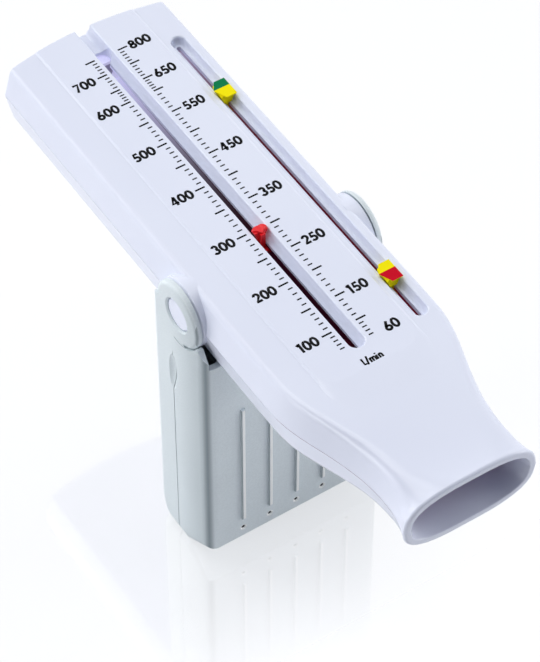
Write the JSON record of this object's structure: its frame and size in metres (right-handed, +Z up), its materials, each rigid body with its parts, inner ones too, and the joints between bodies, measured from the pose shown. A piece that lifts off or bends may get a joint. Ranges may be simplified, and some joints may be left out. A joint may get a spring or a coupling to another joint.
{
  "type": "peak flow meter",
  "caption": "Hand-held breath flow gauge with a flared mouthpiece, slotted scale, sliding markers and a hinged carrying case that doubles as a stand.",
  "frame": {"origin": "middle of the flat sole the case stands on, straight under the pivot between meter and case", "axes": "+Z up along the case, +X across the meter along the pivot, +Y from the mouthpiece towards the closed end of the meter"},
  "size_m": [0.0524, 0.1665, 0.097],
  "materials": {
    "body_white": "gloss moulded plastic",
    "case_grey": "fine satin moulded plastic",
    "piston_dark": "satin moulded plastic",
    "slip_plastic": "smooth low-friction plastic",
    "steel": "bright drawn stainless",
    "bumper_rubber": "matt rubber",
    "pointer_red": "gloss moulded plastic",
    "marker_yellow": "gloss moulded plastic with painted colour fields"
  },
  "bodies": {
    "case": {"case_rear": "case_grey"},
    "door": {"case_door": "case_grey"},
    "meter": {"front_shell": "body_white", "rear_shell": "body_white", "guide_rod": "steel", "inlet_bridge": "body_white", "spring_seat": "steel", "rest_spacer": "slip_plastic", "end_block": "body_white", "end_washer": "steel", "end_bumper": "bumper_rubber", "return_spring": "steel"},
    "piston": {"piston": "piston_dark", "piston_bush": "slip_plastic"},
    "pointer": {"peak_pointer": "pointer_red", "pointer_keeper": "pointer_red"},
    "upper_marker": {"upper_zone_marker": "marker_yellow", "upper_marker_keeper": "marker_yellow"},
    "lower_marker": {"lower_zone_marker": "marker_yellow", "lower_marker_keeper": "marker_yellow"}
  },
  "joints": [
    {"name": "meter_swing", "type": "hinge", "parent": "case", "child": "meter", "pos_m": [0, 0, 0.0872], "axis": [1, 0, 0], "range_deg": [0, 90]},
    {"name": "door_hinge", "type": "hinge", "parent": "case", "child": "door", "pos_m": [0, 0.00235, 0], "axis": [1, 0, 0], "range_deg": [0, 170]},
    {"name": "piston_slide", "type": "slide", "parent": "meter", "child": "piston", "axis": [0, 1, 0], "range_m": [0, 0.106], "stiffness_N_per_m": 8, "springref_m": -0.01, "deforming": ["return_spring"]},
    {"name": "pointer_slide", "type": "slide", "parent": "meter", "child": "pointer", "axis": [0, 1, 0], "range_m": [-0.036, 0.0685]},
    {"name": "upper_marker_slide", "type": "slide", "parent": "meter", "child": "upper_marker", "axis": [0, 1, 0], "range_m": [-0.045, 0.014]},
    {"name": "lower_marker_slide", "type": "slide", "parent": "meter", "child": "lower_marker", "axis": [0, 1, 0], "range_m": [-0.007, 0.017]}
  ],
  "couplings": [
    {"joint": "door_hinge", "follows": "meter_swing", "ratio": 1.8889}
  ]
}
